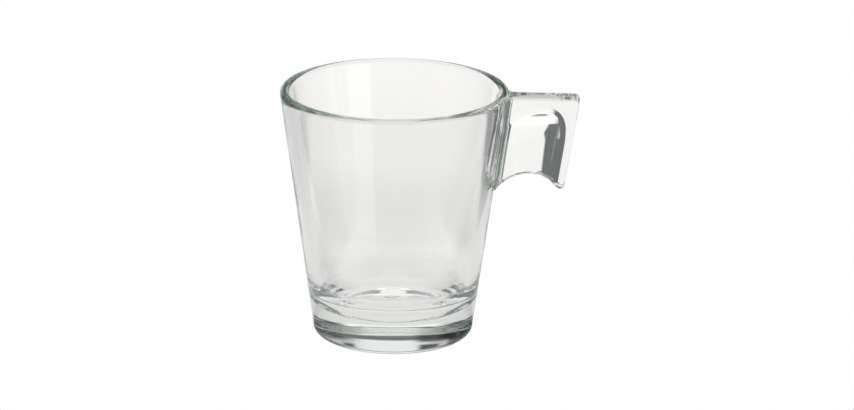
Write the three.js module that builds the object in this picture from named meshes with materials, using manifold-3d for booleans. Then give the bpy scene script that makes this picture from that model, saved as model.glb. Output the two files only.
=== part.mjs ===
// A clear pressed-glass espresso cup: a conical body with a rounded lip and a thick base,
// and a solid flag-shaped tab handle that is fused to the wall just under the lip.
// Millimetres, +Z up. The cup stands on z = 0 and the handle points along +X.
// The origin is under the middle of the whole object, so the cup's own axis lies at x = axisX.

import * as THREE from "three";
import { mergeVertices } from "three/addons/utils/BufferGeometryUtils.js";
import Module from "manifold-3d";

// Body sizes
const height = 66;
const rimDiameter = 59;
const baseDiameter = 41.2; // where the straight wall would meet the table
const rimWall = 2.5; // the lip is a full round of this thickness
const baseWall = 3.2; // wall at the level of the inside floor
const floorThickness = 7.5;
const floorFillet = 10;
const footEdgeRadius = 1.5;
const footRingWidth = 2.6; // flat ring that touches the table
const pushUp = 0.7; // hollow under the middle of the base

// Handle sizes
const handleReach = 18.2; // from the rim to the outer edge
const handleLean = 0.155; // sideways run of the outer edge for each millimetre of height
const handleHeight = 24.2; // from the top face to the outer tip
const handleThickness = 7;
const handleDrop = 1; // top face below the lip
const handleCornerRadius = 1.3;
const handleTipRadius = 1.1;
const handleEdgeRadius = 0.8;
const archDepth = 20.7; // from the top face to the crown of the arch
const archCrownReach = 9; // from the wall to the crown
const archRootDrop = 4.4; // from the crown down to where the arch meets the wall
const rootFlare = 1.5; // fillet where the tab's faces run into the wall
const rootGap = 0.3; // clearance between the two glass pieces

// Scoops in the two faces of the tab
const scoopDepth = 2.05;
const scoopWidth = 16.7;
const scoopTopPlate = 2.4; // full-thickness plate left above each scoop
const scoopEndRadius = 7.1; // of the ramp that each scoop ends in at the top
const scoopBorder = 1.5; // plain border between a scoop and the outer edge

// Facets
const bodyFacets = 80;
const scoopFacets = 120;
const roundStep = Math.PI / 10; // greatest turn between two points of a small round
const rampStep = Math.PI / 24; // of the floor's fillet and the scoops' ends
const archStep = Math.PI / 40; // and of a wide arc
const edgeSteps = 5; // across a rounded edge of the tab

// Sizes that follow from the ones above
const quarter = Math.PI / 2;
const rimRadius = rimDiameter / 2;
const baseRadius = baseDiameter / 2;
const lip = {
  radius: rimWall / 2,
  x: rimRadius - rimWall / 2,
  y: height - rimWall / 2,
};
const lipDistance = Math.hypot(lip.x - baseRadius, lip.y);
const wallLean =
  Math.atan2(lip.x - baseRadius, lip.y) + Math.asin(lip.radius / lipDistance);
const wallSlope = Math.tan(wallLean);
const wallRadius = (z) => baseRadius + wallSlope * z;
const handleTop = height - handleDrop;
const handleTip = handleTop - handleHeight;
const handleEnd = rimRadius + handleReach;
const axisX = (rimRadius - handleEnd) / 2;
const overrun = 4; // how far the uncut tab and its cutters run past what they meet

const wasm = await Module();
wasm.setup();

const point = (x, y) => new THREE.Vector2(x, y);

// Points along an arc that passes through the given angles, no two further apart than a step.
function arc(x, y, radius, angles, step) {
  const at = (angle) => point(x + radius * Math.cos(angle), y + radius * Math.sin(angle));
  const points = [at(angles[0])];
  for (let i = 1; i < angles.length; i++) {
    const turn = angles[i] - angles[i - 1];
    const steps = Math.ceil(Math.abs(turn) / step);
    for (let k = 1; k <= steps; k++) points.push(at(angles[i - 1] + (turn * k) / steps));
  }
  return points;
}

// A closed geometry as a solid that can be joined and cut.
function solidOf(geometry) {
  const bare = new THREE.BufferGeometry();
  bare.setAttribute("position", geometry.getAttribute("position"));
  bare.setIndex(geometry.index);
  const merged = mergeVertices(bare);
  return new wasm.Manifold(
    new wasm.Mesh({
      numProp: 3,
      vertProperties: new Float32Array(merged.getAttribute("position").array),
      triVerts: new Uint32Array(merged.index.array),
    }),
  );
}

function geometryOf(solid) {
  const mesh = solid.getMesh();
  const geometry = new THREE.BufferGeometry();
  geometry.setAttribute("position", new THREE.BufferAttribute(mesh.vertProperties, 3));
  geometry.setIndex(new THREE.BufferAttribute(mesh.triVerts, 1));
  return geometry;
}

// A profile of radius and height, from the lowest point on the axis outwards and up, turned about +Z.
function turned(profile, facets) {
  return new THREE.LatheGeometry(profile, facets).rotateX(quarter);
}

// The body's profile: under the base, up the outside, over the lip, down the inside to the floor.
function bodyProfile() {
  const footX = wallRadius(footEdgeRadius) - footEdgeRadius / Math.cos(wallLean);
  const hollowRadius = footX - footRingWidth;
  const domeRadius = (hollowRadius ** 2 + pushUp ** 2) / (2 * pushUp);
  const domeAngle = Math.asin(hollowRadius / domeRadius);

  // The inside wall is straight from the lip to the floor, with a fillet at the floor.
  const floorX = wallRadius(floorThickness) - baseWall;
  const drop = lip.y - floorThickness;
  const innerDistance = Math.hypot(lip.x - floorX, drop);
  const innerLean =
    Math.atan2(lip.x - floorX, drop) - Math.asin(lip.radius / innerDistance);
  const filletX = floorX - floorFillet * Math.tan((quarter - innerLean) / 2);

  return [
    ...arc(0, pushUp - domeRadius, domeRadius, [quarter, quarter - domeAngle], archStep),
    ...arc(footX, footEdgeRadius, footEdgeRadius, [-quarter, -wallLean], roundStep),
    ...arc(lip.x, lip.y, lip.radius, [-wallLean, 0, quarter, Math.PI - innerLean], roundStep),
    ...arc(filletX, floorThickness + floorFillet, floorFillet, [-innerLean, -quarter], rampStep),
    point(0, floorThickness),
  ];
}

// The tab seen from the side, x out from the cup's axis and y up, run on into the wall.
function handleOutline() {
  const lean = Math.atan(handleLean);
  const cornerX = handleEnd - handleCornerRadius;
  const cornerY = handleTop - handleCornerRadius;
  const tipY = handleTip + handleTipRadius;
  const tipX =
    cornerX -
    handleLean * (cornerY - tipY) +
    (handleCornerRadius - handleTipRadius) / Math.cos(lean);
  const crownY = handleTop - archDepth;
  const crownX = wallRadius(crownY) + archCrownReach;

  // Both arcs of the arch are level at the crown. The outer one runs into the tip's round,
  // and the inner one passes through the wall at the root.
  const tipRun = tipX - crownX;
  const tipDrop = crownY - tipY;
  const outerRadius =
    (tipRun ** 2 + tipDrop ** 2 - handleTipRadius ** 2) / (2 * (handleTipRadius + tipDrop));
  const touch = Math.atan2(outerRadius - tipDrop, tipRun);
  const rootY = crownY - archRootDrop;
  const rootX = wallRadius(rootY);
  const rootRun = crownX - rootX;
  const innerRadius = (rootRun ** 2 + archRootDrop ** 2) / (2 * archRootDrop);
  const rootAngle = quarter + Math.asin(rootRun / innerRadius);

  return [
    point(rootX - overrun, handleTop),
    ...arc(cornerX, cornerY, handleCornerRadius, [quarter, 0, -lean], roundStep),
    ...arc(tipX, tipY, handleTipRadius, [-lean, -quarter, touch - Math.PI], roundStep),
    ...arc(crownX, crownY - outerRadius, outerRadius, [touch, quarter], archStep).slice(1),
    ...arc(crownX, crownY - innerRadius, innerRadius, [quarter, rootAngle], archStep).slice(1),
    point(rootX - overrun, rootY - overrun),
  ];
}

// The side outline as a plate of that thickness about y = 0, with its edges rounded.
function tabPlate(thickness, edge) {
  const plate = new THREE.ExtrudeGeometry(new THREE.Shape(handleOutline()), {
    depth: thickness - 2 * edge,
    bevelEnabled: edge > 0,
    bevelThickness: edge,
    bevelSize: edge,
    bevelOffset: -edge,
    bevelSegments: edgeSteps,
  });
  return plate.translate(0, 0, edge - thickness / 2).rotateX(quarter);
}

// Leans an upright piece outwards as the wall leans, with z = 0 left in place.
function leanWithWall(geometry) {
  const lean = new THREE.Matrix4().makeShear(0, 0, 0, 0, wallSlope, 0);
  return geometry.applyMatrix4(lean);
}

// The fillets where the tab's two faces run out into the wall, seen from above and drawn upright.
function rootFlares() {
  const face = handleThickness / 2;
  const inside = baseRadius - overrun;
  const end = baseRadius + rootFlare;
  const left = arc(end, face + rootFlare, rootFlare, [-quarter, -Math.PI], roundStep);
  const right = left.map((p) => point(p.x, -p.y)).reverse();
  const outline = [point(inside, face + rootFlare), point(inside, -face - rootFlare)];
  const flares = new THREE.ExtrudeGeometry(new THREE.Shape([...outline, ...right, ...left]), {
    depth: height,
    bevelEnabled: false,
  });
  return leanWithWall(flares);
}

// One scoop's cutter: a tall round bar with a rounded top end, leaning with the wall.
// The end's round reaches the tab's face at the lower edge of the top plate.
function scoopCutter(side) {
  const radius = (scoopWidth ** 2 / 4 + scoopDepth ** 2) / (2 * scoopDepth);
  const bottom = handleTip - overrun;
  const ramp = Math.sqrt(scoopEndRadius ** 2 - (scoopEndRadius - scoopDepth) ** 2);
  const endX = radius - scoopEndRadius;
  const endY = handleTop - scoopTopPlate - ramp;
  const bar = [
    point(0, bottom),
    point(radius, bottom),
    ...arc(endX, endY, scoopEndRadius, [0, quarter], rampStep),
    point(0, endY + scoopEndRadius),
  ];
  const middle = handleEnd - wallSlope * handleTop - scoopBorder - scoopWidth / 2;
  const away = handleThickness / 2 - scoopDepth + radius;
  return leanWithWall(turned(bar, scoopFacets).translate(middle, side * away, 0));
}

// The space that the body's outside takes up, larger all round by the root gap.
function bodyClearance() {
  const grown = rootGap / Math.cos(wallLean);
  const top = height + overrun;
  const cone = [
    point(0, -overrun),
    point(wallRadius(-overrun) + grown, -overrun),
    point(wallRadius(top) + grown, top),
    point(0, top),
  ];
  return turned(cone, bodyFacets);
}

function handleGeometry() {
  const wide = solidOf(tabPlate(handleThickness + 2 * rootFlare, 0));
  const flared = wide.intersect(solidOf(rootFlares()));
  const tab = solidOf(tabPlate(handleThickness, handleEdgeRadius));
  const scooped = [-1, 1].reduce((left, side) => left.subtract(solidOf(scoopCutter(side))), tab);
  return geometryOf(scooped.add(flared).subtract(solidOf(bodyClearance())));
}

const glass = { color: 0xdfe6e2, roughness: 0.02, metalness: 0 };

function piece(name, geometry) {
  geometry.computeVertexNormals();
  const mesh = new THREE.Mesh(geometry, new THREE.MeshStandardMaterial(glass));
  mesh.name = name;
  mesh.position.x = axisX;
  return mesh;
}

const cup = new THREE.Group();
cup.add(piece("cup_body", turned(bodyProfile(), bodyFacets)));
cup.add(piece("handle", handleGeometry()));

export default cup;
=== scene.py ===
# A clear pressed-glass espresso cup with a solid tab handle, on a white studio table.
# Metres, +Z up. The handle points along +X and the cup's own axis stands at x = AXIS_X.

import math

import bmesh
import bpy
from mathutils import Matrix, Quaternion, Vector


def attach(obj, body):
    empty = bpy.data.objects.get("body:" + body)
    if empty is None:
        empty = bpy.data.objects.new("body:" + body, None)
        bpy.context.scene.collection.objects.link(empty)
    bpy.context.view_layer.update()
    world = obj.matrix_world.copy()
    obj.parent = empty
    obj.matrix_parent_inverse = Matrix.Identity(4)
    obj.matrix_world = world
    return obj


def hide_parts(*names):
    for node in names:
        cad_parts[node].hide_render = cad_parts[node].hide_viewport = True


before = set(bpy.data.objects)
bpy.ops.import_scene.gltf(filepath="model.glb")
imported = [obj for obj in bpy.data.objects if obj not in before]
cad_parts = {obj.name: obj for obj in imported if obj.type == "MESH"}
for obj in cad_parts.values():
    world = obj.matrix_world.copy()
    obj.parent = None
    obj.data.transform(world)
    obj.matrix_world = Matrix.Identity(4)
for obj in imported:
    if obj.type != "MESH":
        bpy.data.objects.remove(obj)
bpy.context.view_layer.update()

MM = 0.001
QUARTER = math.pi / 2

# Body sizes, in millimetres
HEIGHT = 66.0
RIM_RADIUS = 29.5
BASE_RADIUS = 20.6  # where the straight wall would meet the table
WALL_SLOPE = 0.1375  # sideways run of the wall for each millimetre of height
LIP_WALL = 2.5
LIP_LAND = 0.02  # left flat between the lip's two rounds
BASE_WALL = 3.2  # wall at the level of the inside floor
FLOOR_Z = 7.5
FLOOR_FILLET = 10.0
FOOT_EDGE = 1.5
FOOT_RING = 2.6  # flat ring that touches the table
PUSH_UP = 0.7  # hollow under the middle of the base

# Handle sizes, in millimetres
HANDLE_REACH = 18.2  # from the rim to the outer edge
HANDLE_DROP = 1.0  # top face below the lip
HANDLE_HEIGHT = 24.2  # from the top face to the outer tip
TAB_LEAN = 0.155  # sideways run of the outer edge for each millimetre of height
TAB_HALF = 3.5  # half the thickness
TAB_EDGE = 0.55  # rounding of the edges
CORNER_RADIUS = 1.3
TIP_RADIUS = 1.1
ARCH_DEPTH = 20.7  # from the top face to the crown of the arch
CROWN_REACH = 9.0  # from the wall to the crown
ROOT_DROP = 4.4  # from the crown down to where the arch meets the wall
ROOT_FLARE = 1.5  # fillet where the faces run into the wall
ROOT_SINK = 0.25  # how far the root reaches into the wall

# Places that follow from these, with x out from the cup's axis
AXIS_X = -HANDLE_REACH / 2
TAB_END = RIM_RADIUS + HANDLE_REACH
TAB_TOP = HEIGHT - HANDLE_DROP
TAB_TIP = TAB_TOP - HANDLE_HEIGHT
CROWN_Z = TAB_TOP - ARCH_DEPTH
TAB_INSIDE = Vector((36.0, 0, 54.0))  # a point well inside the tab's outline

# Scoop sizes, in millimetres
SCOOP_DEPTH = 2.0
SCOOP_REACH_OUT = 5.9  # from the deepest line to the trough's outer side
SCOOP_REACH_IN = 10.7  # and to its inner side
SCOOP_START = 53.4  # height where the trough starts to curve up to its end
SCOOP_END_RADIUS = 17.0
SCOOP_EDGE = 0.12  # softness of the scoop's outline
SCOOP_BORDER = 2.1  # plain border along the outer edge

# Mesh steps of the glass
BODY_STEPS = 288
DOME_STEPS = 16
FOOT_STEPS = 10
LIP_STEPS = 12
FILLET_STEPS = 32
LONG_EDGE = 6.0  # straight stretches of the section over this length are cut up
LONG_EDGE_CUTS = 24
TAB_ACROSS = 96
TAB_UP = 96
EDGE_STEPS = 6
SIDE_STEPS = 4
CORNER_STEPS = 4
ARCH_STEPS = 30

# Distances that count as touching, in millimetres
WELD = 1e-5
MIRROR_WELD = 1e-4
ROOT_TOUCH = 1e-3

# The glass: its tint, and the height of its waves in millimetres
GLASS_IOR = 1.52
GLASS_TINT = (0.605, 0.72, 0.643, 1)
GLASS_TINT_DENSITY = 5.6
WAVE_HEIGHT = 0.05
WAVES_PER_METRE = 80.0

# Upright ripples of the wall, with their height as a share of the waves'
RIPPLES_PER_METRE = 330.0
RIPPLE_SHARE = 0.12
RIPPLE_RATE_UP = 0.12  # share of that rate along z, which draws them out upright

# Chill rings of the floor and base. They fade in above the foot and give way to the ripples up the wall.
CHILL_RINGS_PER_METRE = 500.0
CHILL_RING_SHARE = 0.9
CHILL_NONE_BELOW = 4.0
CHILL_FULL_ABOVE = 7.0
RIPPLE_NONE_BELOW = 9.0
RIPPLE_FULL_ABOVE = 26.0

# The studio's table and room, in metres, with the gaps under the cup in millimetres
TABLE_RADIUS = 12.0
TABLE_SIDES = 96
TABLE_GAP = 1.2
TABLE_TOP_GAP = 0.4
TABLE_TOP_STEPS = 180
ROOM_RADIUS = 4.0
ROOM_STEPS = 240
ROOM_LOWEST = -3  # degrees of elevation
SKY_GREY = 0.3

# Rings of the table top's mesh: how many, the first one's radius in millimetres, and the growth of the rest
TABLE_RINGS = 130
TABLE_RING_FIRST = 5.0
TABLE_RING_GROWTH = 1.055

# The studio's lamps are slightly warm, and its shade is slightly green.
LIGHT_TINT = Vector((1.008, 1.0, 0.988))
SHADE_TINT = Vector((0.91, 1.0, 0.98))

# Soft-edged parts of the room: brightness, azimuths and their softness, elevations and theirs, in degrees.
# Azimuth 0 is the camera's side, 90 is right of the camera, 180 is behind the cup and 270 is left.
# Each part is laid over the ones before it. A range that runs past the room's own has no end there.
ALL_ROUND = (-400, 800)
ROOM_GREY = 0.5
ROOM_PARTS = {
    "ceiling": (1.1, ALL_ROUND, 1, (74, 99), 4),
    "left_wall": (0.3, (245, 320), 10, (-20, 74), 4),
    "right_wall": (0.36, (45, 112), 10, (-20, 74), 4),
    "front_wall": (0.05, (-52, 52), 10, (18, 72), 4),
    "front_ceiling": (0.95, (-40, 40), 6, (64, 99), 2),
    "low_left": (0.1, (215, 345), 3, (-20, 30), 4),
    "low_front": (0.03, (-45, 26), 2, (-20, 21), 2),
    "low_right": (0.62, (50, 80), 3, (-20, 14), 3),
    "front_light": (0.97, (27, 54), 0.7, (-20, 11), 1.5),
    "back_glow": (0.87, (112, 236), 12, (30, 99), 8),
    "dark_right": (0.04, (96, 164), 8, (4, 22.5), 3),
    "back_light": (0.9, (159, 198), 11, (19, 99), 1.5),
    "gap": (0.13, (87, 300), 4, (13.5, 19.7), 1),
    "dark_left": (0.02, (192, 245), 4, (13, 21.8), 1.5),
    "stand_left": (0.06, (194.5, 208), 2.5, (25.5, 33), 1.5),
    "stand_right": (0.1, (149, 158), 2.5, (25.5, 32), 1.5),
    "sweep": (1.04, (152, 207), 7, (-20, 12.7), 1),
}

# Painted light and shade of the table top, in millimetres and degrees: pools of light where the lamps fall,
# and the cup's shadows round it.
# A strip has its x and y ranges, and a sector its azimuths and radii, each with its softness.
# Painted shade: how bright the table is where no pool of light falls.
TABLE_SHADE_GREY = 0.16
TABLE_LIGHT_AND_SHADOW = {
    # Painted pools of light where the lamps fall on the table.
    "right_far": ("sector", 0.6, (50, 80), 3, (180, 9000), 15),
    "front_right": ("sector", 0.97, (27, 54), 0.7, (150, 9000), 15),
    "left_side": ("strip", 0.65, (-190, 0), 40, (6, 230), 20),
    "lit_strip": ("strip", 0.97, (-54, 66), 4, (-57, 400), 30),
    "sweep": ("sector", 1.0, (168, 209), 1.5, (215, 9000), 35),
    # Painted shadows of the cup on the table: shade round and behind it, a half shade behind, contact
    # shadows at its foot and the shade under its base.
    "shade": ("sector", 0.74, (100, 262), 12, (-99, 100), 40),
    "behind": ("sector", 0.87, (157, 209), 9, (-99, 120), 40),
    "contact_shadow": ("sector", 0.81, (150, 206), 10, (-99, 48), 12),
    "shade_right": ("sector", 0.1, (44, 106), 8, (20.5, 38), 2),
    "shade_left": ("sector", 0.12, (254, 310), 8, (20.5, 38), 2),
    "under": ("sector", 0.76, ALL_ROUND, 1, (-99, 20), 1.5),
}

# The camera's angles, in degrees
CAMERA_AZIMUTH = 4.4
CAMERA_ELEVATION = 18.1
CAMERA_ROLL = 0.53

# Its distance and clip range in metres, and its lens in millimetres
CAMERA_DISTANCE = 0.9508
CLIP_NEAR = 0.05
CLIP_FAR = 50.0
LENS = 154.0
SENSOR_WIDTH = 36.0

# From the middle of the cup's axis to the middle of the picture, in millimetres
AIM_RIGHT = 8.67
AIM_UP = 1.27

# The lip's green comes from light that the glass guides round it, over many bounces.
BOUNCES = 200


# Shared tools

def wall_radius(z):
    """Radius of the outside of the wall at a height."""
    return BASE_RADIUS + WALL_SLOPE * z


def inner_radius(z):
    """Radius of the inside of the wall at a height."""
    low = wall_radius(FLOOR_Z) - BASE_WALL
    high = RIM_RADIUS - LIP_WALL
    return low + (high - low) * (z - FLOOR_Z) / (HEIGHT - LIP_WALL / 2 - FLOOR_Z)


def arc(x, z, radius, start, end, steps):
    """Points along an arc, from one angle to another."""
    turn = (end - start) / steps
    return [
        Vector((x + radius * math.cos(start + turn * k), z + radius * math.sin(start + turn * k)))
        for k in range(steps + 1)
    ]


def spin_round(bm, steps):
    """Spins all that the bmesh holds once about +Z."""
    bmesh.ops.spin(
        bm, geom=list(bm.verts) + list(bm.edges), cent=(0, 0, 0), axis=(0, 0, 1),
        angle=2 * math.pi, steps=steps, use_merge=True, use_duplicate=False,
    )


def smooth_object(name, bm):
    """The bmesh as a smooth object in the scene."""
    for face in bm.faces:
        face.smooth = True
    mesh = bpy.data.meshes.new(name)
    bm.to_mesh(mesh)
    bm.free()
    piece = bpy.data.objects.new(name, mesh)
    bpy.context.scene.collection.objects.link(piece)
    return piece


def glass_piece(name, bm):
    """A closed bmesh in millimetres as an object in metres, placed about the cup's axis."""
    bmesh.ops.remove_doubles(bm, verts=bm.verts, dist=WELD)
    bmesh.ops.recalc_face_normals(bm, faces=bm.faces)
    bmesh.ops.scale(bm, vec=(MM, MM, MM), verts=bm.verts)
    bmesh.ops.translate(bm, vec=(AXIS_X * MM, 0, 0), verts=bm.verts)
    return smooth_object(name, bm)


# The body

def section_corners():
    """Half the body's section: each corner's x and z, the reach of its rounding and the steps of it."""
    hollow = BASE_RADIUS - FOOT_EDGE - FOOT_RING
    dome = (hollow ** 2 + PUSH_UP ** 2) / (2 * PUSH_UP)
    dome_end = QUARTER - math.asin(hollow / dome)
    lean = math.atan(WALL_SLOPE)
    wide = math.tan((QUARTER + lean) / 2)
    narrow = math.tan((QUARTER - lean) / 2)
    lip_round = (LIP_WALL - LIP_LAND) / 2
    underside = arc(0, PUSH_UP - dome, dome, QUARTER, dome_end, DOME_STEPS)
    return [(p.x, p.y, 0.0, 1) for p in underside] + [
        (BASE_RADIUS, 0.0, FOOT_EDGE * wide, FOOT_STEPS),
        (wall_radius(HEIGHT), HEIGHT, lip_round * wide, LIP_STEPS),
        (inner_radius(HEIGHT), HEIGHT, lip_round * narrow, LIP_STEPS),
        (inner_radius(FLOOR_Z), FLOOR_Z, FLOOR_FILLET * narrow, FILLET_STEPS),
        (0.0, FLOOR_Z, 0.0, 1),
    ]


def make_body():
    """Half a section with its corners rounded, spun about the axis."""
    corners = section_corners()
    bm = bmesh.new()
    verts = [bm.verts.new((x, 0, z)) for x, z, _, _ in corners]
    bm.faces.new(verts)
    for vert, (_, _, reach, steps) in zip(verts, corners):
        if reach:
            bmesh.ops.bevel(
                bm, geom=[vert], offset=reach, offset_type="OFFSET", affect="VERTICES",
                segments=steps, profile=0.5, material=-1, clamp_overlap=True,
            )
    bmesh.ops.delete(bm, geom=list(bm.faces), context="FACES_ONLY")
    on_axis = [e for e in bm.edges if all(abs(v.co.x) < WELD for v in e.verts)]
    bmesh.ops.delete(bm, geom=on_axis, context="EDGES")
    long_edges = [e for e in bm.edges if e.calc_length() > LONG_EDGE]
    bmesh.ops.subdivide_edges(bm, edges=long_edges, cuts=LONG_EDGE_CUTS)
    spin_round(bm, BODY_STEPS)
    return glass_piece("cup_glass", bm)


# The handle

def resample(points, count):
    """The polyline at count + 1 even steps along its length."""
    lengths = [0.0]
    for a, b in zip(points, points[1:]):
        lengths.append(lengths[-1] + (b - a).length)
    found = []
    k = 0
    for i in range(count + 1):
        want = lengths[-1] * i / count
        while k < len(points) - 2 and lengths[k + 1] < want:
            k += 1
        span = lengths[k + 1] - lengths[k]
        found.append(points[k].lerp(points[k + 1], (want - lengths[k]) / span if span else 0.0))
    return found


def tab_sides(inset):
    """The tab's outline, drawn in by an inset, as four sides that run upwards or out from the root."""
    lean = math.atan(TAB_LEAN)
    corner = Vector((TAB_END - CORNER_RADIUS, TAB_TOP - CORNER_RADIUS))
    tip_z = TAB_TIP + TIP_RADIUS
    tip_x = corner.x - TAB_LEAN * (corner.y - tip_z) + (CORNER_RADIUS - TIP_RADIUS) / math.cos(lean)

    # Both arcs of the arch are level at the crown. The outer one runs into the tip's round,
    # and the inner one passes through the wall at the root.
    crown_x = wall_radius(CROWN_Z) + CROWN_REACH
    run = tip_x - crown_x
    drop = CROWN_Z - tip_z
    outer = (run ** 2 + drop ** 2 - TIP_RADIUS ** 2) / (2 * (TIP_RADIUS + drop))
    touch = math.atan2(outer - drop, run)
    root_run = crown_x - wall_radius(CROWN_Z - ROOT_DROP)
    inner = (root_run ** 2 + ROOT_DROP ** 2) / (2 * ROOT_DROP)
    root_angle = QUARTER + math.asin(root_run / inner)

    # The corner's and the tip's rounds are shared by the two sides that meet there.
    corner_r = CORNER_RADIUS - inset
    tip_r = TIP_RADIUS - inset
    corner_half = (QUARTER - lean) / 2
    tip_half = (touch - math.pi - lean) / 2
    top_round = arc(corner.x, corner.y, corner_r, QUARTER, corner_half, CORNER_STEPS)
    end_round = arc(corner.x, corner.y, corner_r, corner_half, -lean, CORNER_STEPS)
    end_tip = arc(tip_x, tip_z, tip_r, -lean, tip_half, CORNER_STEPS)
    under_tip = arc(tip_x, tip_z, tip_r, tip_half, touch - math.pi, CORNER_STEPS)
    arch = (
        arc(crown_x, CROWN_Z - outer, outer + inset, touch, QUARTER, ARCH_STEPS)[1:]
        + arc(crown_x, CROWN_Z - inner, inner + inset, QUARTER, root_angle, ARCH_STEPS)[1:]
    )
    root_z = arch[-1].y
    root_low = Vector((wall_radius(root_z) - ROOT_SINK, root_z))
    top_z = TAB_TOP - inset
    root_high = Vector((wall_radius(top_z) - ROOT_SINK, top_z))
    return {
        "root": [root_low, root_high],
        "end": (end_round + end_tip)[::-1],
        "top": [root_high] + top_round,
        "under": [root_low] + (under_tip + arch[:-1])[::-1],
    }


def scoop_depth(x, z):
    """How far a face is hollowed: a trough, deepest near the outer edge, that curves up to its end."""
    middle = TAB_END - SCOOP_BORDER - SCOOP_REACH_OUT - WALL_SLOPE * (TAB_TOP - z)
    reach = SCOOP_REACH_OUT if x > middle else SCOOP_REACH_IN
    radius = (reach ** 2 + SCOOP_DEPTH ** 2) / (2 * SCOOP_DEPTH)
    trough = math.sqrt(radius ** 2 - (x - middle) ** 2) - (radius - SCOOP_DEPTH)
    up = max(0.0, z - SCOOP_START)
    depth = trough - SCOOP_END_RADIUS + math.sqrt(SCOOP_END_RADIUS ** 2 - up ** 2)
    return (depth + math.hypot(depth, SCOOP_EDGE)) / 2


def root_swell(x, z):
    """How far a face swells out where it runs into the wall."""
    out = max(0.0, x - wall_radius(z))
    if out >= ROOT_FLARE:
        return 0.0
    return ROOT_FLARE - math.sqrt(ROOT_FLARE ** 2 - (ROOT_FLARE - out) ** 2)


def tab_face():
    """A grid that fills the tab's drawn-in outline, on its scooped and flared front face."""
    sides = tab_sides(TAB_EDGE)
    root = resample(sides["root"], TAB_UP)
    end = resample(sides["end"], TAB_UP)
    top = resample(sides["top"], TAB_ACROSS)
    under = resample(sides["under"], TAB_ACROSS)
    bm = bmesh.new()
    bmesh.ops.create_grid(bm, x_segments=TAB_ACROSS, y_segments=TAB_UP, size=1.0)
    for vert in bm.verts:
        i = round((vert.co.x + 1) / 2 * TAB_ACROSS)
        j = round((vert.co.y + 1) / 2 * TAB_UP)
        u = i / TAB_ACROSS
        v = j / TAB_UP
        flat = (
            root[j] * (1 - u) + end[j] * u + under[i] * (1 - v) + top[i] * v
            - (under[0] * (1 - u) * (1 - v) + under[-1] * u * (1 - v))
            - (top[0] * (1 - u) * v + top[-1] * u * v)
        )
        half = TAB_HALF - scoop_depth(flat.x, flat.y) + root_swell(flat.x, flat.y)
        vert.co = (flat.x, -half, flat.y)
    return bm


def border_outward(vert):
    """The direction out of the tab at a border point, in the plane of its outline, or none at the root."""
    if vert.co.x < wall_radius(vert.co.z) - ROOT_SINK + ROOT_TOUCH:
        return Vector((0, 0, 0))
    ahead, behind = (e.other_vert(vert).co - vert.co for e in vert.link_edges if e.is_boundary)
    along = ahead.normalized() - behind.normalized()
    flat = Vector((along.z, 0, -along.x)).normalized()
    inward = TAB_INSIDE - Vector((vert.co.x, 0, vert.co.z))
    return -flat if flat.dot(inward) > 0 else flat


def edge_ring(step, half):
    """How far out and how far back a ring lies: round the edge first, then on to the middle plane."""
    if step <= EDGE_STEPS:
        turn = QUARTER * step / EDGE_STEPS
        return TAB_EDGE * math.sin(turn), TAB_EDGE * (1 - math.cos(turn))
    return TAB_EDGE, TAB_EDGE + (half - TAB_EDGE) * (step - EDGE_STEPS) / SIDE_STEPS


def draw_border_back(bm):
    """Draws the face's border round the edge and back to the middle plane, a ring at a time."""
    border = [e for e in bm.edges if e.is_boundary]
    verts = {v for e in border for v in e.verts}
    start = {v: (v.co.copy(), border_outward(v)) for v in verts}
    for step in range(1, EDGE_STEPS + SIDE_STEPS + 1):
        made = bmesh.ops.extrude_edge_only(bm, edges=border)["geom"]
        moved = {}
        for vert in (g for g in made if isinstance(g, bmesh.types.BMVert)):
            before = next(e.other_vert(vert) for e in vert.link_edges if e.other_vert(vert) in start)
            place, outward = start[before]
            out, back = edge_ring(step, abs(place.y))
            vert.co = place + outward * out + Vector((0, back, 0))
            if outward.length == 0:
                wall = wall_radius(vert.co.z) - ROOT_SINK
                vert.co.x = math.sqrt(wall ** 2 - vert.co.y ** 2)
            moved[vert] = (place, outward)
        start = moved
        edges = (g for g in made if isinstance(g, bmesh.types.BMEdge))
        border = [e for e in edges if all(v in moved for v in e.verts)]


def make_handle():
    """One face of the tab with its border drawn back to the middle plane, then mirrored."""
    bm = tab_face()
    draw_border_back(bm)
    half = list(bm.verts) + list(bm.edges) + list(bm.faces)
    bmesh.ops.mirror(bm, geom=half, axis="Y", merge_dist=MIRROR_WELD)
    return glass_piece("handle_glass", bm)


# The glass

def add_noise(tree, place, per_metre):
    """Smooth noise over a place, with that many features to the metre."""
    noise = tree.nodes.new("ShaderNodeTexNoise")
    noise.inputs["Scale"].default_value = per_metre
    noise.inputs["Detail"].default_value = 1.0
    tree.links.new(place, noise.inputs["Vector"])
    return noise.outputs["Fac"]


def add_rise(tree, height, start, end, top):
    """A value that rises softly from 0 at one height to a top at another, in millimetres."""
    rise = tree.nodes.new("ShaderNodeMapRange")
    rise.interpolation_type = "SMOOTHSTEP"
    rise.inputs["From Min"].default_value = start * MM
    rise.inputs["From Max"].default_value = end * MM
    rise.inputs["To Max"].default_value = top
    tree.links.new(height, rise.inputs["Value"])
    return rise.outputs["Result"]


def add_ripples(tree, place):
    """Upright ripples of the wall: noise that is drawn out along z."""
    upright = tree.nodes.new("ShaderNodeMapping")
    upright.inputs["Scale"].default_value = (1, 1, RIPPLE_RATE_UP)
    tree.links.new(place, upright.inputs["Vector"])
    ripples = tree.nodes.new("ShaderNodeMath")
    ripples.operation = "MULTIPLY"
    tree.links.new(add_noise(tree, upright.outputs["Vector"], RIPPLES_PER_METRE), ripples.inputs[0])
    ripples.inputs[1].default_value = RIPPLE_SHARE
    return ripples.outputs["Value"]


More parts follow.
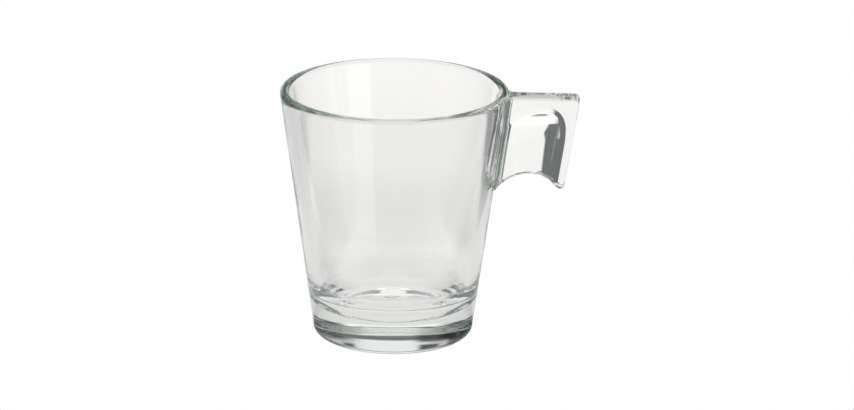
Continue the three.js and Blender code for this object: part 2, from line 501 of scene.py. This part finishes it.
def add_chill_rings(tree, place, height):
    """Chill rings of the floor and base: noise of the radius and height alone, above the foot."""
    flat = tree.nodes.new("ShaderNodeMapping")
    flat.inputs["Location"].default_value = (-AXIS_X * MM, 0, 0)
    flat.inputs["Scale"].default_value = (1, 1, 0)
    tree.links.new(place, flat.inputs["Vector"])
    radius = tree.nodes.new("ShaderNodeVectorMath")
    radius.operation = "LENGTH"
    tree.links.new(flat.outputs["Vector"], radius.inputs[0])
    section = tree.nodes.new("ShaderNodeCombineXYZ")
    tree.links.new(radius.outputs["Value"], section.inputs["X"])
    tree.links.new(height, section.inputs["Z"])
    rings = tree.nodes.new("ShaderNodeMath")
    rings.operation = "MULTIPLY"
    tree.links.new(add_noise(tree, section.outputs["Vector"], CHILL_RINGS_PER_METRE), rings.inputs[0])
    share = add_rise(tree, height, CHILL_NONE_BELOW, CHILL_FULL_ABOVE, CHILL_RING_SHARE)
    tree.links.new(share, rings.inputs[1])
    return rings.outputs["Value"]


def make_glass():
    """Clear soda glass with a grey-green tint, and the faint relief of a pressed wall and base."""
    glass = bpy.data.materials.new("clear_glass")
    glass.use_nodes = True
    tree = glass.node_tree
    surface = tree.nodes["Principled BSDF"]
    surface.inputs["Base Color"].default_value = (1, 1, 1, 1)
    surface.inputs["Roughness"].default_value = 0.0
    surface.inputs["IOR"].default_value = GLASS_IOR
    surface.inputs["Transmission Weight"].default_value = 1.0

    place = tree.nodes.new("ShaderNodeTexCoord").outputs["Object"]
    split = tree.nodes.new("ShaderNodeSeparateXYZ")
    tree.links.new(place, split.inputs["Vector"])
    height = split.outputs["Z"]

    # The rings give way to the ripples above the floor, and the waves run through both.
    pattern = tree.nodes.new("ShaderNodeMix")
    up_the_wall = add_rise(tree, height, RIPPLE_NONE_BELOW, RIPPLE_FULL_ABOVE, 1.0)
    tree.links.new(up_the_wall, pattern.inputs["Factor"])
    tree.links.new(add_chill_rings(tree, place, height), pattern.inputs["A"])
    tree.links.new(add_ripples(tree, place), pattern.inputs["B"])
    relief = tree.nodes.new("ShaderNodeMath")
    relief.operation = "ADD"
    tree.links.new(pattern.outputs["Result"], relief.inputs[0])
    tree.links.new(add_noise(tree, place, WAVES_PER_METRE), relief.inputs[1])
    bump = tree.nodes.new("ShaderNodeBump")
    bump.inputs["Strength"].default_value = 1.0
    bump.inputs["Distance"].default_value = WAVE_HEIGHT * MM
    tree.links.new(relief.outputs["Value"], bump.inputs["Height"])
    tree.links.new(bump.outputs["Normal"], surface.inputs["Normal"])

    tint = tree.nodes.new("ShaderNodeVolumeAbsorption")
    tint.inputs["Color"].default_value = GLASS_TINT
    tint.inputs["Density"].default_value = GLASS_TINT_DENSITY
    tree.links.new(tint.outputs["Volume"], tree.nodes["Material Output"].inputs["Volume"])
    return glass


# The studio

def soft_step(low, high, value):
    """0 below a range and 1 above it, with a smooth rise between."""
    t = min(1.0, max(0.0, (value - low) / (high - low)))
    return t * t * (3 - 2 * t)


def between(low, high, soft, value):
    """1 inside a range and 0 outside it, with soft ends."""
    return soft_step(low - soft, low + soft, value) * (1 - soft_step(high - soft, high + soft, value))


def turned_between(low, high, soft, azimuth):
    """The same for a range of azimuths, which may run across 0 or 360 degrees."""
    return max(between(low, high, soft, azimuth + turn) for turn in (-360, 0, 360))


def azimuth_of(x, y):
    """Degrees from the camera's side, which is -y, round to the right."""
    return math.degrees(math.atan2(x, -y)) % 360


def room_glow(place):
    """Brightness of the room's dome at a place on it."""
    azimuth = azimuth_of(place.x, place.y)
    elevation = math.degrees(math.asin(min(1.0, place.z / ROOM_RADIUS)))
    glow = ROOM_GREY
    for brightness, across, soft_across, up, soft_up in ROOM_PARTS.values():
        mask = turned_between(*across, soft_across, azimuth) * between(*up, soft_up, elevation)
        glow += (brightness - glow) * mask
    return glow


def painted_table_light(place):
    """Painted light and shade of the table top at a place on it: pools of light and the cup's shadows."""
    x = place.x / MM
    y = place.y / MM
    radius = math.hypot(x, y)
    azimuth = azimuth_of(x, y)
    glow = TABLE_SHADE_GREY
    for kind, brightness, across, soft_across, along, soft_along in TABLE_LIGHT_AND_SHADOW.values():
        if kind == "strip":
            mask = between(*across, soft_across, x) * between(*along, soft_along, y)
        else:
            mask = turned_between(*across, soft_across, azimuth) * between(*along, soft_along, radius)
        glow += (brightness - glow) * mask
    return glow


def white_light(name):
    """A material that glows evenly white."""
    light = bpy.data.materials.new(name)
    light.use_nodes = True
    nodes = light.node_tree.nodes
    nodes.clear()
    glow = nodes.new("ShaderNodeEmission")
    glow.inputs["Color"].default_value = (1, 1, 1, 1)
    out = nodes.new("ShaderNodeOutputMaterial")
    light.node_tree.links.new(glow.outputs["Emission"], out.inputs["Surface"])
    return light


def paint_glow(piece, glow_at):
    """Stores a tinted brightness on each vertex, which the piece's light then shows."""
    glow = piece.data.color_attributes.new("glow", "FLOAT_COLOR", "POINT")
    for vert, value in zip(piece.data.vertices, glow.data):
        level = glow_at(vert.co)
        tint = LIGHT_TINT.lerp(SHADE_TINT, max(0.0, 1 - level) ** 2)
        value.color = (*(level * tint), 1)
    light = white_light(piece.name)
    nodes = light.node_tree.nodes
    read = nodes.new("ShaderNodeAttribute")
    read.attribute_name = "glow"
    light.node_tree.links.new(read.outputs["Color"], nodes["Emission"].inputs["Color"])
    piece.data.materials.append(light)


def stage_piece(name, bm, turntable, seen):
    """A part of the studio, which either the camera alone sees, or the glass alone."""
    piece = smooth_object(name, bm)
    piece.parent = turntable
    piece.visible_camera = seen
    piece.visible_transmission = not seen
    piece.visible_glossy = not seen
    return piece


def spun_row(points, steps):
    """A row of points joined up and spun about +Z."""
    bm = bmesh.new()
    row = [bm.verts.new(point) for point in points]
    for pair in zip(row, row[1:]):
        bm.edges.new(pair)
    spin_round(bm, steps)
    return bm


def make_turntable(camera):
    """The studio stands round the cup as on a turntable, and always faces the camera with its -Y."""
    turntable = bpy.data.objects.new("turntable", None)
    turntable.location = (AXIS_X * MM, 0, 0)
    bpy.context.scene.collection.objects.link(turntable)
    face = turntable.constraints.new("LOCKED_TRACK")
    face.target = camera
    face.track_axis = "TRACK_NEGATIVE_Y"
    face.lock_axis = "LOCK_Z"
    return turntable


def make_white_table(turntable):
    """The plain white table that the camera sees."""
    bm = bmesh.new()
    bmesh.ops.create_circle(bm, cap_ends=True, radius=TABLE_RADIUS, segments=TABLE_SIDES)
    bmesh.ops.translate(bm, vec=(0, 0, -TABLE_GAP * MM), verts=bm.verts)
    table = stage_piece("studio_table", bm, turntable, seen=True)
    table.data.materials.append(white_light("table_white"))


def make_table_top(turntable):
    """What the glass sees of the table: rings that widen away from the cup, glowing with painted pools of
    light and painted shadows of the cup.
    """
    radii = [0.0] + [TABLE_RING_FIRST * TABLE_RING_GROWTH ** k for k in range(TABLE_RINGS)]
    row = [(0, -radius * MM, -TABLE_TOP_GAP * MM) for radius in radii]
    top = stage_piece("studio_table_top_painted_light", spun_row(row, TABLE_TOP_STEPS), turntable, seen=False)
    paint_glow(top, painted_table_light)


def make_room(turntable):
    """What the glass sees of the room: a dome from just below the table to straight up."""
    angles = [math.radians(a) for a in range(ROOM_LOWEST, 91)]
    row = [(0, -ROOM_RADIUS * math.cos(a), ROOM_RADIUS * math.sin(a)) for a in angles]
    room = stage_piece("studio_room", spun_row(row, ROOM_STEPS), turntable, seen=False)
    paint_glow(room, room_glow)


def make_world():
    """A plain grey sky beyond the studio."""
    world = bpy.data.worlds.new("studio")
    world.use_nodes = True
    sky = world.node_tree.nodes["Background"]
    sky.inputs["Color"].default_value = (SKY_GREY, SKY_GREY, SKY_GREY, 1)
    bpy.context.scene.world = world


def make_camera():
    """The photograph's view: a long lens a little above the rim, turned by a small roll."""
    azimuth = math.radians(CAMERA_AZIMUTH)
    elevation = math.radians(CAMERA_ELEVATION)
    back = Vector((
        math.sin(azimuth) * math.cos(elevation),
        -math.cos(azimuth) * math.cos(elevation),
        math.sin(elevation),
    ))
    right = Vector((math.cos(azimuth), math.sin(azimuth), 0))
    up = back.cross(right)
    middle = Vector((AXIS_X, 0, HEIGHT / 2)) * MM
    place = middle + back * CAMERA_DISTANCE
    aim = middle + (right * AIM_RIGHT + up * AIM_UP) * MM
    lens = bpy.data.cameras.new("camera")
    lens.lens = LENS
    lens.sensor_width = SENSOR_WIDTH
    lens.clip_start = CLIP_NEAR
    lens.clip_end = CLIP_FAR
    camera = bpy.data.objects.new("camera", lens)
    camera.location = place
    camera.rotation_mode = "QUATERNION"
    roll = Quaternion((0, 0, 1), math.radians(CAMERA_ROLL))
    camera.rotation_quaternion = (aim - place).to_track_quat("-Z", "Y") @ roll
    bpy.context.scene.collection.objects.link(camera)
    bpy.context.scene.camera = camera
    return camera


glass = make_glass()
for piece, node in ((make_body(), "cup_body"), (make_handle(), "handle")):
    piece.data.materials.append(glass)
    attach(piece, "root")
    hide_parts(node)

make_world()
turntable = make_turntable(make_camera())
make_white_table(turntable)
make_table_top(turntable)
make_room(turntable)

scene = bpy.context.scene
scene.view_settings.view_transform = "Standard"
scene.cycles.max_bounces = BOUNCES
scene.cycles.transmission_bounces = BOUNCES
scene.cycles.glossy_bounces = BOUNCES
scene.cycles.use_denoising = True
scene.cycles.denoising_input_passes = "RGB_ALBEDO"
